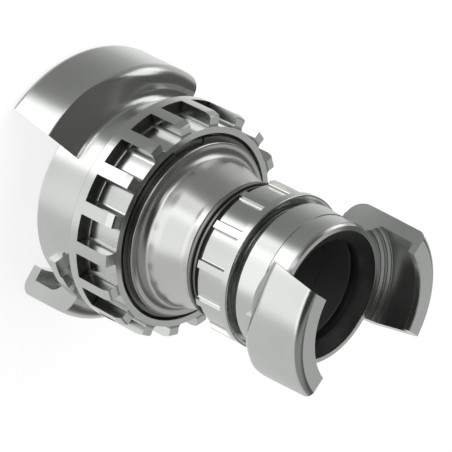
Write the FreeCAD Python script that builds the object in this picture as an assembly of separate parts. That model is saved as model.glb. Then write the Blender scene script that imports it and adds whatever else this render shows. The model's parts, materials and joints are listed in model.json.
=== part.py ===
"""Fire hose reducer between two symmetrical quarter-turn lug couplings with lock rings.

It stands on the lug tips of its large end, with the waterway's axis along +Z and the
small mouth on top. Each head is modelled in its own frame, with its rim at z = 0 and
its mouth towards +Z, and is then placed. Lengths are in millimetres, angles in degrees.
"""
import FreeCAD, Part
import os
from math import sin, tan

os.makedirs("parts", exist_ok=True)

# Clearances
RUNNING = 0.08  # radial play of a turning fit
SEAT = 0.3  # gap between faces of pieces that move apart
SEAL_PLAY = 0.05  # rubber or wire beside its seat

# Lugs of both heads
LUG_END_DRAFT = 9.0  # lean of both ends, so that a lug narrows towards its tip
LUG_CORNER = 0.5  # rounding of the edges of hook and pocket
LUG_ROOT = 1.0  # how deep the lugs sit in the head
STOP_ROOT = 2.0

# Large head: mouth and sleeve
LARGE_HEAD_R = 59.6
LARGE_RIM_BEVEL = 2.4
LARGE_RIM_TAPER = 3.2
LARGE_MOUTH_WALL = 6.0
LARGE_RECESS_DEPTH = 15.0
LARGE_SEAL_LEDGE = 3.6
LARGE_LEDGE_LENGTH = 5.0
LARGE_SHOULDER = 36.5  # rim to the shoulder behind which the sleeve starts
LARGE_SHOULDER_STEP = 6.6
LARGE_NECK_DEPTH = 2.2
LARGE_NECK = 5.5  # width of the relief that the stop wire closes
LARGE_SLEEVE_WALL = 2.8  # between the neck and the spigot
LARGE_HEAD_LENGTH = 66.5  # rim to the end of the sleeve
LARGE_CONE = 4.0  # straight bore beside the spigot's end
LARGE_RIM_R = LARGE_HEAD_R - LARGE_RIM_BEVEL
LARGE_RECESS_R = LARGE_HEAD_R - LARGE_MOUTH_WALL
LARGE_WATERWAY_R = LARGE_RECESS_R - LARGE_SEAL_LEDGE
LARGE_THREAD_R = LARGE_HEAD_R - LARGE_SHOULDER_STEP
LARGE_NECK_R = LARGE_THREAD_R - LARGE_NECK_DEPTH
LARGE_SPIGOT_R = LARGE_NECK_R - LARGE_SLEEVE_WALL

# Large head: lugs
LARGE_LUG_REACH = 26.85  # lug tips ahead of the rim
LARGE_LUG_HEIGHT = 17.8
LARGE_LUG_START = 98.1  # thin end at the rim, counterclockwise seen from the mouth
LARGE_LUG_SPAN = 84.9
LARGE_HOOK_HEIGHT = 0.9
LARGE_HOOK_THICKNESS = 7.2
LARGE_POCKET_HEIGHT = 8.5  # wall of the space under the hook, above the head
LARGE_POCKET_FOOT = 3.15
LARGE_POCKET_STEP = 1.3
LARGE_POCKET_SLOPE = 4.5
LARGE_POCKET_SINK = 2.8
LARGE_TIP_ROUND_THIN = 4.0
LARGE_TIP_ROUND_THICK = 7.5
LARGE_BACK_ROOT = 19.4  # root of the lug's back behind the rim
LARGE_BACK_EDGE_THIN = 7.15  # outer edge of the back behind the rim, at its thin end
LARGE_BACK_EDGE_THICK = 18.0
LARGE_BACK_ROUND_THIN = 1.0
LARGE_BACK_ROUND_THICK = 10.0
LARGE_RAMP_START = 19.0  # from the lug's thin end
LARGE_RAMP_END = 62.0
LARGE_DRAFT = 0.8  # how far the outer wall leans in towards the back
LARGE_ROOT_ROUND = 6.5
LARGE_ROOT_TAIL = 14.0
LARGE_LUG_R = LARGE_HEAD_R + LARGE_LUG_HEIGHT
LARGE_HOOK_R = LARGE_HEAD_R + LARGE_HOOK_HEIGHT
LARGE_POCKET_R = LARGE_HEAD_R + LARGE_POCKET_HEIGHT

# Large head: stops behind the lugs, in three steps, and a shallow recess behind them
LARGE_STOP_HEIGHT = 5.7
LARGE_STOP_FRONT = 15.9
LARGE_STOP_STEPS = [(36.0, 21.75), (26.0, 23.5), (16.0, 25.2)]  # span, back
LARGE_DIP_START = 7.0  # from the start of the stop
LARGE_DIP_SPAN = 34.0
LARGE_DIP_DEPTH = 1.3
LARGE_DIP_ROUND = 5.0
LARGE_STOP_R = LARGE_HEAD_R + LARGE_STOP_HEIGHT
LARGE_STOP_START = LARGE_LUG_START + LARGE_LUG_SPAN - 1.0

# Small head: mouth and sleeve
SMALL_HEAD_R = 40.8
SMALL_RIM_BEVEL = 1.2
SMALL_RIM_TAPER = 2.2
SMALL_TAIL_STEP = 0.3
SMALL_TAIL_FLARE = 1.2
SMALL_MOUTH_WALL = 3.9
SMALL_RECESS_DEPTH = 13.0
SMALL_SHOULDER = 28.5
SMALL_SHOULDER_STEP = 2.8
SMALL_RELIEF = 0.8
SMALL_THREAD_START = 31.5
SMALL_THREAD_BEVEL = 0.6
SMALL_NECK_DEPTH = 1.2
SMALL_NECK = 3.4
SMALL_SLEEVE_WALL = 1.8
SMALL_HEAD_LENGTH = 63.6
SMALL_RIM_R = SMALL_HEAD_R - SMALL_RIM_BEVEL
SMALL_TAIL_R = SMALL_HEAD_R + SMALL_TAIL_FLARE
SMALL_RECESS_R = SMALL_HEAD_R - SMALL_MOUTH_WALL
SMALL_THREAD_R = SMALL_HEAD_R - SMALL_SHOULDER_STEP
SMALL_RELIEF_R = SMALL_THREAD_R - SMALL_RELIEF
SMALL_NECK_R = SMALL_THREAD_R - SMALL_NECK_DEPTH
SMALL_SPIGOT_R = SMALL_NECK_R - SMALL_SLEEVE_WALL

# Small head: lugs
SMALL_LUG_REACH = 28.6
SMALL_LUG_HEIGHT = 13.3
SMALL_LUG_START = 86.9
SMALL_LUG_SPAN = 82.2
SMALL_HOOK_HEIGHT = 0.3
SMALL_HOOK_THICKNESS = 4.0
SMALL_POCKET_HEIGHT = 5.6
SMALL_POCKET_FOOT = 4.2
SMALL_POCKET_STEP = 2.4
SMALL_POCKET_DROP = 2.6
SMALL_TIP_ROUND = 4.4
SMALL_BACK_ROOT = 13.8  # root of the lug's back behind the rim, at its thin end
SMALL_BACK_RISE = 4.0  # by which the root runs back over the first part of the lug
SMALL_BACK_RISE_SPAN = 28.0
SMALL_BACK_FALL = 0.8  # and again along the whole lug
SMALL_BACK_EDGE_THIN = 2.0
SMALL_BACK_EDGE_THICK = 16.4
SMALL_BACK_ROUND_THIN = 3.0
SMALL_BACK_ROUND_THICK = 11.0
SMALL_RAMP_START = 17.0
SMALL_RAMP_END = 80.0
SMALL_DRAFT = 0.2
SMALL_LUG_R = SMALL_HEAD_R + SMALL_LUG_HEIGHT
SMALL_HOOK_R = SMALL_HEAD_R + SMALL_HOOK_HEIGHT
SMALL_POCKET_R = SMALL_HEAD_R + SMALL_POCKET_HEIGHT

# Small head: flange on the back of each lug
SMALL_STOP_HEIGHT = 3.7
SMALL_STOP_FRONT = 11.8
SMALL_STOP_BACK = 18.6
SMALL_STOP_SPAN = 40.0
SMALL_STOP_R = SMALL_HEAD_R + SMALL_STOP_HEIGHT

# Lock rings
RING_THREAD_BEVEL = 0.9
LARGE_RING_HEIGHT = 7.4  # outside of the ring above the head
LARGE_RING_FRONT = 36.55  # rim of the head to the ring's closed band
LARGE_RING_INSET = 0.25  # end of the sleeve past the end of the ring
LARGE_RING_BAND = 6.6
LARGE_RING_SINK = 0.4  # floor of the pockets below the head
LARGE_RING_COVER = 0.5  # counterbore over the head's shoulder
LARGE_RING_COUNTERBORE = 5.8
LARGE_RING_MOUTH_PLAY = 2.4
LARGE_RING_MOUTH = 7.0
LARGE_RIB_COUNT = 18
LARGE_RIB_WIDTH = 6.4
LARGE_RIB_PHASE = 175.6
LARGE_RIB_FILLET = 2.2
LARGE_RIB_SLOPE = 4.6
LARGE_RIB_NOSE = 0.8
LARGE_RIB_SLOPE_DROP = 1.1
LARGE_RIB_NOSE_DROP = 2.0
LARGE_RING_R = LARGE_HEAD_R + LARGE_RING_HEIGHT
LARGE_RING_FLOOR_R = LARGE_HEAD_R - LARGE_RING_SINK
LARGE_RING_COUNTERBORE_R = LARGE_HEAD_R + LARGE_RING_COVER
LARGE_RING_MOUTH_R = LARGE_THREAD_R + LARGE_RING_MOUTH_PLAY
LARGE_RING_END = LARGE_HEAD_LENGTH - LARGE_RING_INSET
SMALL_RING_HEIGHT = 4.0
SMALL_RING_FRONT = 32.7
SMALL_RING_INSET = 7.6
SMALL_RING_BAND = 4.5
SMALL_RING_FLOOR = 1.4  # floor of the pockets above the head
SMALL_RING_COVER = 0.5
SMALL_RING_COUNTERBORE = 4.0
SMALL_RING_MOUTH_PLAY = 1.5
SMALL_RING_MOUTH = 3.0
SMALL_RIB_COUNT = 12
SMALL_RIB_WIDTH = 5.5
SMALL_RIB_PHASE = 20.5
SMALL_RIB_FILLET = 1.2
SMALL_RING_R = SMALL_HEAD_R + SMALL_RING_HEIGHT
SMALL_RING_FLOOR_R = SMALL_HEAD_R + SMALL_RING_FLOOR
SMALL_RING_COUNTERBORE_R = SMALL_TAIL_R + SMALL_RING_COVER
SMALL_RING_MOUTH_R = SMALL_THREAD_R + SMALL_RING_MOUTH_PLAY
SMALL_RING_END = SMALL_HEAD_LENGTH - SMALL_RING_INSET

# Stop wires: flat split spring rings in the neck at the end of each sleeve
LARGE_WIRE_HEIGHT = 2.8
LARGE_WIRE_TURN = 138.0  # middle of the gap
SMALL_WIRE_HEIGHT = 2.2
SMALL_WIRE_TURN = 60.0
WIRE_GAP = 24.0
WIRE_THICKNESS = 1.4
COLLAR = 0.4
COLLAR_HEIGHT = 0.6

# Spigots of the body, inside the sleeves
LARGE_SPIGOT_WALL = 5.0
LARGE_SPIGOT_LENGTH = 28.0
SMALL_SPIGOT_WALL = 4.0
SMALL_SPIGOT_LENGTH = 30.0
RETAINER_R = 1.2  # half the thickness of the retaining wires
LARGE_RETAINER_DEPTH = 13.0  # from the spigot's seat
SMALL_RETAINER_DEPTH = 12.0
RETAINER_GAP = 8.0
CORD_R = 1.4  # half the thickness of the round seals
LARGE_CORD_DEPTH = 22.0
SMALL_CORD_DEPTH = 23.0
LARGE_BORE_R = LARGE_SPIGOT_R - LARGE_SPIGOT_WALL
SMALL_BORE_R = SMALL_SPIGOT_R - SMALL_SPIGOT_WALL

# Reducing body
BODY_LENGTH = 37.35  # between the seats of the two heads
BODY_LIP_HEIGHT = 3.3  # above the spigot
BODY_LIP = 3.55
BODY_LIP_ROUND = 1.0
BODY_BELL_SINK = 4.6  # bell below the spigot, at the lip
BODY_BELL_FILLET = 2.0
BODY_BELL_SHOULDER = 10.5
BODY_BELL_ROUND = 11.0
BODY_NECK_HEIGHT = 3.2  # above the small spigot
BODY_NECK = 28.5  # from the lip's seat to the neck
BODY_NECK_ROUND = 9.0
BODY_BEAD_HEIGHT = 5.4
BODY_BEAD = 4.0
BODY_BEAD_RISE = 1.6
BODY_BORE_ROUND = 8.0
BODY_CONE_START = 4.0
BODY_LIP_R = LARGE_SPIGOT_R + BODY_LIP_HEIGHT
BODY_BELL_R = LARGE_SPIGOT_R - BODY_BELL_SINK
BODY_NECK_R = SMALL_SPIGOT_R + BODY_NECK_HEIGHT
BODY_BEAD_R = SMALL_SPIGOT_R + BODY_BEAD_HEIGHT

# Mouth seals
SEAL_FACE = 1.2
SEAL_SINK = 0.4
SEAL_RIM = 2.6
SEAL_FOOT = 3.0
SEAL_LIP_REACH = 1.8
SEAL_LIP_TIP = 0.6
LARGE_SEAL_LIP = 6.0
SMALL_SEAL_LIP = 5.6

# Places of the heads along the axis, worked out from the lengths above
LARGE_RIM_Z = LARGE_LUG_REACH
BODY_SEAT_Z = LARGE_RIM_Z + LARGE_HEAD_LENGTH + SEAT
BODY_TOP_Z = BODY_SEAT_Z + BODY_LENGTH
SMALL_RIM_Z = BODY_TOP_Z + SEAT + SMALL_HEAD_LENGTH

LUG_OVERRUN = 6.0  # angle by which a lug's loft passes its ends, before it is trimmed
LUG_STEPS = 13
TIP_EXCESS = 0.05  # cut off the lug tips to leave a true plane
OVERCUT = 2.0  # how far the cutters pass the faces they open
BLOCK = 3 * LARGE_LUG_R  # side of the blocks that trim the lugs
ORIGIN = FreeCAD.Vector(0, 0, 0)
AXIS = FreeCAD.Vector(0, 0, 1)
SIDEWAYS = FreeCAD.Vector(1, 0, 0)
FULL_TURN = 360.0
HALF_TURN = 180.0
TOUCH = 0.001  # distance under which two lengths count as equal


def outline(corners):
    """Closed wire in the XZ plane through (r, z) corners; a third number rounds that corner."""
    points = [FreeCAD.Vector(corner[0], 0, corner[1]) for corner in corners]
    radii = [corner[2] if len(corner) > 2 else 0 for corner in corners]
    count = len(points)
    starts = []
    arcs = []
    ends = []
    for i, point in enumerate(points):
        to_last = points[i - 1] - point
        to_next = points[(i + 1) % count] - point
        room = 0.49 * min(to_last.Length, to_next.Length)
        to_last.normalize()
        to_next.normalize()
        half_angle = to_last.getAngle(to_next) / 2
        run = min(radii[i] / tan(half_angle), room)
        radius = run * tan(half_angle)
        starts.append(point + to_last * run)
        ends.append(point + to_next * run)
        if run > 0:
            inward = to_last + to_next
            inward.normalize()
            middle = point + inward * (radius / sin(half_angle) - radius)
            arcs.append(Part.Arc(starts[-1], middle, ends[-1]).toShape())
        else:
            arcs.append(None)
    edges = []
    for i in range(count):
        edges.append(Part.LineSegment(ends[i - 1], starts[i]).toShape())
        if arcs[i]:
            edges.append(arcs[i])
    return Part.Wire(edges)


def turned(corners, start=0.0, span=FULL_TURN):
    """Solid of revolution of an (r, z) outline about the axis, over a full turn or a span."""
    solid = Part.Face(outline(corners)).revolve(ORIGIN, AXIS, span)
    solid.rotate(ORIGIN, AXIS, start)
    return solid


def tube(inner_r, outer_r, low, high, start=0.0, span=FULL_TURN):
    """Tube, or a sector of one, between two heights."""
    return turned([(inner_r, low), (outer_r, low), (outer_r, high), (inner_r, high)], start, span)


def opposite_pair(solid):
    """The solid and its copy half a turn round the axis."""
    twin = solid.copy()
    twin.rotate(ORIGIN, AXIS, HALF_TURN)
    return [solid, twin]


def ease(share):
    """Smooth rise from 0 to 1."""
    share = max(0.0, min(1.0, share))
    return share * share * (3 - 2 * share)


def between(first, last, share):
    """Value at a share of the way from the first to the last."""
    return first + (last - first) * share


def from_axis(vertex):
    """Distance of a vertex from the axis."""
    return vertex.Point.distanceToLine(ORIGIN, AXIS)


def ramped_lug(section, span):
    """Lug lofted through radial sections; section(angle) is its outline at an angle.

    It runs a little past its span at both ends, where a trim gives it flat ends.
    """
    wires = []
    for step in range(LUG_STEPS):
        angle = between(-LUG_OVERRUN, span + LUG_OVERRUN, step / (LUG_STEPS - 1))
        wire = outline(section(angle))
        wire.rotate(ORIGIN, AXIS, angle)
        wires.append(wire)
    return Part.makeLoft(wires, True, False)


def trimmed(lug, reach, start, span):
    """The lug between two leaning planes and the plane of its tip, turned to its place."""
    after = Part.makeBox(2 * BLOCK, BLOCK, 2 * BLOCK, FreeCAD.Vector(-BLOCK, 0, -BLOCK))
    after.rotate(ORIGIN, SIDEWAYS, -LUG_END_DRAFT)
    before = Part.makeBox(2 * BLOCK, BLOCK, 2 * BLOCK, FreeCAD.Vector(-BLOCK, -BLOCK, -BLOCK))
    before.rotate(ORIGIN, SIDEWAYS, LUG_END_DRAFT)
    before.rotate(ORIGIN, AXIS, span)
    below = Part.makeBox(2 * BLOCK, 2 * BLOCK, BLOCK, FreeCAD.Vector(-BLOCK, -BLOCK, reach - BLOCK))
    lug = lug.common(after.common(before).common(below))
    lug.rotate(ORIGIN, AXIS, start)
    return lug


def large_lug_section(angle):
    """Radial section of a large lug at an angle from its thin end."""
    share = ease((angle - LARGE_RAMP_START) / (LARGE_RAMP_END - LARGE_RAMP_START))
    along = ease(angle / LARGE_LUG_SPAN)
    root_r = LARGE_HEAD_R - LUG_ROOT
    edge = -between(LARGE_BACK_EDGE_THIN, LARGE_BACK_EDGE_THICK, share)
    edge_round = between(LARGE_BACK_ROUND_THIN, LARGE_BACK_ROUND_THICK, share)
    tip_round = between(LARGE_TIP_ROUND_THIN, LARGE_TIP_ROUND_THICK, along)
    tip = LARGE_LUG_REACH + TIP_EXCESS
    hook_back = LARGE_LUG_REACH - LARGE_HOOK_THICKNESS
    return [
        (root_r, -LARGE_BACK_ROOT - LARGE_ROOT_TAIL),
        (LARGE_HEAD_R, -LARGE_BACK_ROOT, LARGE_ROOT_ROUND),
        (LARGE_LUG_R - LARGE_DRAFT, edge, edge_round),
        (LARGE_LUG_R, tip, tip_round),
        (LARGE_HOOK_R, tip, LUG_CORNER),
        (LARGE_HOOK_R, hook_back, LUG_CORNER),
        (LARGE_POCKET_R, hook_back, LUG_CORNER),
        (LARGE_POCKET_R, LARGE_POCKET_FOOT, LUG_CORNER),
        (LARGE_POCKET_R - LARGE_POCKET_STEP, 0.0),
        (LARGE_POCKET_R - LARGE_POCKET_SLOPE, -LARGE_POCKET_SINK, LUG_CORNER),
        (root_r, -LARGE_RIM_TAPER),
    ]


def small_lug_section(angle):
    """Radial section of a small lug at an angle from its thin end."""
    share = ease((angle - SMALL_RAMP_START) / (SMALL_RAMP_END - SMALL_RAMP_START))
    root_r = SMALL_HEAD_R - LUG_ROOT
    root = -SMALL_BACK_ROOT - SMALL_BACK_RISE * ease(angle / SMALL_BACK_RISE_SPAN)
    root -= SMALL_BACK_FALL * ease(angle / SMALL_LUG_SPAN)
    edge = -between(SMALL_BACK_EDGE_THIN, SMALL_BACK_EDGE_THICK, share)
    edge_round = between(SMALL_BACK_ROUND_THIN, SMALL_BACK_ROUND_THICK, share)
    tip = SMALL_LUG_REACH + TIP_EXCESS
    hook_back = SMALL_LUG_REACH - SMALL_HOOK_THICKNESS
    return [
        (root_r, root),
        (SMALL_LUG_R - SMALL_DRAFT, edge, edge_round),
        (SMALL_LUG_R, tip, SMALL_TIP_ROUND),
        (SMALL_HOOK_R, tip, LUG_CORNER),
        (SMALL_HOOK_R, hook_back, LUG_CORNER),
        (SMALL_POCKET_R, hook_back, LUG_CORNER),
        (SMALL_POCKET_R, SMALL_POCKET_FOOT, LUG_CORNER),
        (SMALL_POCKET_R - SMALL_POCKET_STEP, SMALL_POCKET_FOOT - SMALL_POCKET_DROP),
        (root_r, -SMALL_RIM_TAPER),
    ]


def retainer_groove(z, radius, spigot_r):
    """Ring of round section that cuts the half groove of a retaining wire."""
    ring = Part.makeTorus(spigot_r, radius, ORIGIN, AXIS)
    ring.translate(AXIS * z)
    return ring


def large_stop():
    """Stepped stop that starts behind the thick end of a large lug."""
    steps = []
    for span, back in LARGE_STOP_STEPS:
        steps.append(tube(LARGE_HEAD_R - STOP_ROOT, LARGE_STOP_R, -back, -LARGE_STOP_FRONT,
                          LARGE_STOP_START, span))
    return steps[0].multiFuse(steps[1:]).removeSplitter()


def large_dip():
    """Cutter of the shallow recess between a stop and the head's shoulder, rounded at its end."""
    top = -LARGE_STOP_STEPS[0][1]
    cutter = tube(LARGE_HEAD_R - LARGE_DIP_DEPTH, LARGE_HEAD_R + OVERCUT, -LARGE_SHOULDER - OVERCUT,
                  top, 0.0, LARGE_DIP_SPAN)
    corners = []
    for edge in cutter.Edges:
        heights = [vertex.Point.z for vertex in edge.Vertexes]
        turns = [vertex.Point.y for vertex in edge.Vertexes]
        if min(heights) > top - TOUCH and min(turns) > LARGE_DIP_DEPTH and len(heights) == 2:
            if abs(from_axis(edge.Vertexes[0]) - from_axis(edge.Vertexes[1])) > TOUCH:
                corners.append(edge)
    cutter = cutter.makeFillet(LARGE_DIP_ROUND, corners)
    cutter.rotate(ORIGIN, AXIS, LARGE_STOP_START + LARGE_DIP_START)
    return cutter


def large_head():
    """Casting of the large coupling: mouth, sleeve, lugs and stops, in its own frame."""
    sleeve_r = LARGE_SPIGOT_R + RUNNING
    spigot_end = LARGE_SPIGOT_LENGTH + SEAT - LARGE_HEAD_LENGTH
    end = -LARGE_HEAD_LENGTH
    wire_back = end + COLLAR
    neck_front = wire_back + LARGE_NECK
    core = turned([
        (LARGE_RECESS_R, 0.0, 0.5),
        (LARGE_RIM_R, 0.0, 1.2),
        (LARGE_HEAD_R, -LARGE_RIM_TAPER),
        (LARGE_HEAD_R, -LARGE_SHOULDER, 0.6),
        (LARGE_THREAD_R, -LARGE_SHOULDER),
        (LARGE_THREAD_R, neck_front, 0.5),
        (LARGE_NECK_R, neck_front),
        (LARGE_NECK_R, wire_back),
        (LARGE_NECK_R + COLLAR_HEIGHT, wire_back),
        (LARGE_NECK_R + COLLAR_HEIGHT, end),
        (sleeve_r, end, 0.5),
        (sleeve_r, spigot_end),
        (LARGE_BORE_R, spigot_end),
        (LARGE_BORE_R, spigot_end + LARGE_CONE, 3.0),
        (LARGE_WATERWAY_R, -LARGE_RECESS_DEPTH - LARGE_LEDGE_LENGTH, 3.0),
        (LARGE_WATERWAY_R, -LARGE_RECESS_DEPTH),
        (LARGE_RECESS_R, -LARGE_RECESS_DEPTH),
    ])
    core = core.cut(Part.makeCompound(opposite_pair(large_dip())))
    lug = trimmed(ramped_lug(large_lug_section, LARGE_LUG_SPAN), LARGE_LUG_REACH,
                  LARGE_LUG_START, LARGE_LUG_SPAN)
    head = core.multiFuse(opposite_pair(lug) + opposite_pair(large_stop()))
    groove = retainer_groove(end + LARGE_RETAINER_DEPTH, RETAINER_R + SEAT, LARGE_SPIGOT_R)
    return head.cut(groove).removeSplitter()


def small_head():
    """Casting of the small coupling, in its own frame."""
    sleeve_r = SMALL_SPIGOT_R + RUNNING
    spigot_end = SMALL_SPIGOT_LENGTH + SEAT - SMALL_HEAD_LENGTH
    end = -SMALL_HEAD_LENGTH
    wire_back = end + COLLAR
    neck_front = wire_back + SMALL_NECK
    core = turned([
        (SMALL_RECESS_R, 0.0, 0.2),
        (SMALL_RIM_R, 0.0, 0.2),
        (SMALL_HEAD_R, -SMALL_RIM_TAPER),
        (SMALL_HEAD_R, -SMALL_BACK_ROOT),
        (SMALL_HEAD_R + SMALL_TAIL_STEP, -SMALL_BACK_ROOT),
        (SMALL_TAIL_R, -SMALL_SHOULDER, 0.8),
        (SMALL_RELIEF_R, -SMALL_SHOULDER),
        (SMALL_RELIEF_R, -SMALL_THREAD_START),
        (SMALL_THREAD_R, -SMALL_THREAD_START - SMALL_THREAD_BEVEL),
        (SMALL_THREAD_R, neck_front, 0.4),
        (SMALL_NECK_R, neck_front),
        (SMALL_NECK_R, wire_back),
        (SMALL_NECK_R + COLLAR_HEIGHT, wire_back),
        (SMALL_NECK_R + COLLAR_HEIGHT, end),
        (sleeve_r, end, 0.5),
        (sleeve_r, spigot_end),
        (SMALL_BORE_R, spigot_end),
        (SMALL_BORE_R, -SMALL_RECESS_DEPTH, 0.8),
        (SMALL_RECESS_R, -SMALL_RECESS_DEPTH),
    ])
    flange = tube(SMALL_HEAD_R - STOP_ROOT, SMALL_STOP_R, -SMALL_STOP_BACK, -SMALL_STOP_FRONT,
                  SMALL_LUG_SPAN - SMALL_STOP_SPAN, SMALL_STOP_SPAN + LUG_OVERRUN)
    lug = ramped_lug(small_lug_section, SMALL_LUG_SPAN).fuse(flange)
    lug = trimmed(lug, SMALL_LUG_REACH, SMALL_LUG_START, SMALL_LUG_SPAN)
    head = core.multiFuse(opposite_pair(lug))
    groove = retainer_groove(end + SMALL_RETAINER_DEPTH, RETAINER_R + SEAT, SMALL_SPIGOT_R)
    return head.cut(groove).removeSplitter()


def large_lock_ring():
    """Large lock ring in the head's frame: closed band towards the mouth, open ribs behind."""
    front = -LARGE_RING_FRONT
    end = -LARGE_RING_END
    thread_r = LARGE_THREAD_R + RUNNING
    ring = turned([
        (LARGE_RING_COUNTERBORE_R, front, 0.4),
        (LARGE_RING_R, front, 0.8),
        (LARGE_RING_R, end + LARGE_RIB_SLOPE, 1.0),
        (LARGE_RING_R - LARGE_RIB_SLOPE_DROP, end + LARGE_RIB_NOSE),
        (LARGE_RING_R - LARGE_RIB_NOSE_DROP, end),
        (LARGE_RING_MOUTH_R, end, 0.3),
        (LARGE_RING_MOUTH_R, end + LARGE_RING_MOUTH),
        (thread_r, end + LARGE_RING_MOUTH + RING_THREAD_BEVEL),
        (thread_r, front - LARGE_RING_COUNTERBORE),
        (LARGE_RING_COUNTERBORE_R, front - LARGE_RING_COUNTERBORE),
    ])
    return ribbed(ring, LARGE_RIB_COUNT, LARGE_RIB_WIDTH, LARGE_RIB_PHASE, LARGE_RIB_FILLET,
                  LARGE_RING_FLOOR_R, LARGE_RING_R, end, front - LARGE_RING_BAND)


def small_lock_ring():
    """Small lock ring in the head's frame: closed band towards the mouth, open ribs behind."""
    front = -SMALL_RING_FRONT
    end = -SMALL_RING_END
    thread_r = SMALL_THREAD_R + RUNNING
    ring = turned([
        (SMALL_RING_COUNTERBORE_R, front, 0.3),
        (SMALL_RING_R, front, 0.8),
        (SMALL_RING_R, end, 0.4),
        (SMALL_RING_MOUTH_R, end, 0.3),
        (SMALL_RING_MOUTH_R, end + SMALL_RING_MOUTH),
        (thread_r, end + SMALL_RING_MOUTH + RING_THREAD_BEVEL),
        (thread_r, front - SMALL_RING_COUNTERBORE),
        (SMALL_RING_COUNTERBORE_R, front - SMALL_RING_COUNTERBORE),
    ])
    return ribbed(ring, SMALL_RIB_COUNT, SMALL_RIB_WIDTH, SMALL_RIB_PHASE, SMALL_RIB_FILLET,
                  SMALL_RING_FLOOR_R, SMALL_RING_R, end, front - SMALL_RING_BAND)


def ribbed(ring, count, rib_width, phase, fillet, floor_r, outer_r, low, high):
    """Cuts the pockets between evenly spaced ribs, whose first centre lies at the phase."""
    pitch = FULL_TURN / count
    cutter = tube(floor_r, outer_r + OVERCUT, low - OVERCUT, high, 0.0, pitch - rib_width)
    floor_edges = []
    for edge in cutter.Edges:
        on_floor = max(from_axis(vertex) for vertex in edge.Vertexes) < floor_r + TOUCH
        closed_end = max(vertex.Point.z for vertex in edge.Vertexes) > high - TOUCH
        if on_floor and closed_end:
            floor_edges.append(edge)
    cutter = cutter.makeFillet(fillet, floor_edges)
    cutters = []
    for k in range(count):
        pocket = cutter.copy()
        pocket.rotate(ORIGIN, AXIS, phase + k * pitch + rib_width / 2)
        cutters.append(pocket)
    return ring.cut(Part.makeCompound(cutters)).removeSplitter()


def stop_wire(length, neck_r, height, turn):
    """Flat split spring ring in the neck at the end of a sleeve."""
    low = -length + COLLAR + SEAL_PLAY
    return tube(neck_r + SEAL_PLAY, neck_r + height, low, low + WIRE_THICKNESS,
                turn + WIRE_GAP / 2, FULL_TURN - WIRE_GAP)


def retaining_wire(spigot_r, z):
    """Round split wire, half in the spigot and half in the sleeve's groove."""
    circle = Part.Circle(FreeCAD.Vector(spigot_r, 0, z), FreeCAD.Vector(0, 1, 0), RETAINER_R)
    section = Part.Face(Part.Wire([circle.toShape()]))
    wire = section.revolve(ORIGIN, AXIS, FULL_TURN - RETAINER_GAP)
    wire.rotate(ORIGIN, AXIS, RETAINER_GAP / 2)
    return wire


def round_seal(spigot_r, z):
    """Round rubber ring in the spigot's groove."""
    ring = Part.makeTorus(spigot_r - CORD_R, CORD_R, ORIGIN, AXIS)
    ring.translate(AXIS * z)
    return ring


def mouth_seal(recess_r, depth, inner_r, lip):
    """Lipped rubber seal in the mouth, in the head's frame."""
    outer_r = recess_r - SEAL_PLAY
    back = -depth + SEAL_PLAY
    return turned([
        (outer_r, -SEAL_SINK, 0.6),
        (outer_r, back),
        (inner_r, back, 0.5),
        (inner_r, back + SEAL_FOOT, 1.0),
        (inner_r - SEAL_LIP_REACH, -lip, 0.8),
        (inner_r - SEAL_LIP_TIP, -lip + SEAL_LIP_REACH, 0.8),
        (outer_r - SEAL_RIM, -SEAL_FACE, 1.0),
        (outer_r - SEAL_FACE, -SEAL_SINK, 0.5),
    ])


def reducing_body():
    """Middle body: spigots at both ends, a lip, the bell and the bead."""
    seat = BODY_SEAT_Z
    top = BODY_TOP_Z
    low = seat - LARGE_SPIGOT_LENGTH
    high = top + SMALL_SPIGOT_LENGTH
    lip = seat + BODY_LIP
    neck = seat + BODY_NECK
    bead = top - BODY_BEAD
    body = turned([
        (LARGE_BORE_R, low, 1.0),
        (LARGE_SPIGOT_R, low, 0.8),
        (LARGE_SPIGOT_R, seat),
        (BODY_LIP_R, seat, 0.3),
        (BODY_LIP_R, lip, BODY_LIP_ROUND),
        (BODY_BELL_R, lip, BODY_BELL_FILLET),
        (BODY_BELL_R, lip + BODY_BELL_SHOULDER, BODY_BELL_ROUND),
        (BODY_NECK_R, neck, BODY_NECK_ROUND),
        (BODY_NECK_R, bead, 2.0),
        (BODY_BEAD_R, bead + BODY_BEAD_RISE, 0.8),
        (BODY_BEAD_R, top, 0.8),
        (SMALL_SPIGOT_R, top),
        (SMALL_SPIGOT_R, high, 0.6),
        (SMALL_BORE_R, high, 0.6),
        (SMALL_BORE_R, neck, BODY_BORE_ROUND),
        (LARGE_BORE_R, seat - BODY_CONE_START, BODY_BORE_ROUND),
    ])
    grooves = [
        retainer_groove(large_retainer_z(), RETAINER_R + SEAL_PLAY, LARGE_SPIGOT_R),
        retainer_groove(small_retainer_z(), RETAINER_R + SEAL_PLAY, SMALL_SPIGOT_R),
        cord_groove(LARGE_SPIGOT_R, seat - LARGE_CORD_DEPTH),
        cord_groove(SMALL_SPIGOT_R, top + SMALL_CORD_DEPTH),
    ]
    return body.cut(Part.makeCompound(grooves)).removeSplitter()


def cord_groove(spigot_r, z):
    """Square groove that holds a round seal."""
    half_width = CORD_R + SEAL_PLAY
    floor_r = spigot_r - 2 * CORD_R - SEAL_PLAY
    return tube(floor_r, spigot_r + OVERCUT, z - half_width, z + half_width)


def large_retainer_z():
    """Height of the large retaining wire."""
    return BODY_SEAT_Z - SEAT - LARGE_RETAINER_DEPTH


def small_retainer_z():
    """Height of the small retaining wire."""
    return BODY_TOP_Z + SEAT + SMALL_RETAINER_DEPTH


def at_large_end(solid):
    """Turns a piece of the large coupling over, so that its mouth points down, and places it."""
    solid.rotate(ORIGIN, SIDEWAYS, HALF_TURN)
    solid.translate(AXIS * LARGE_RIM_Z)
    return solid


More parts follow.
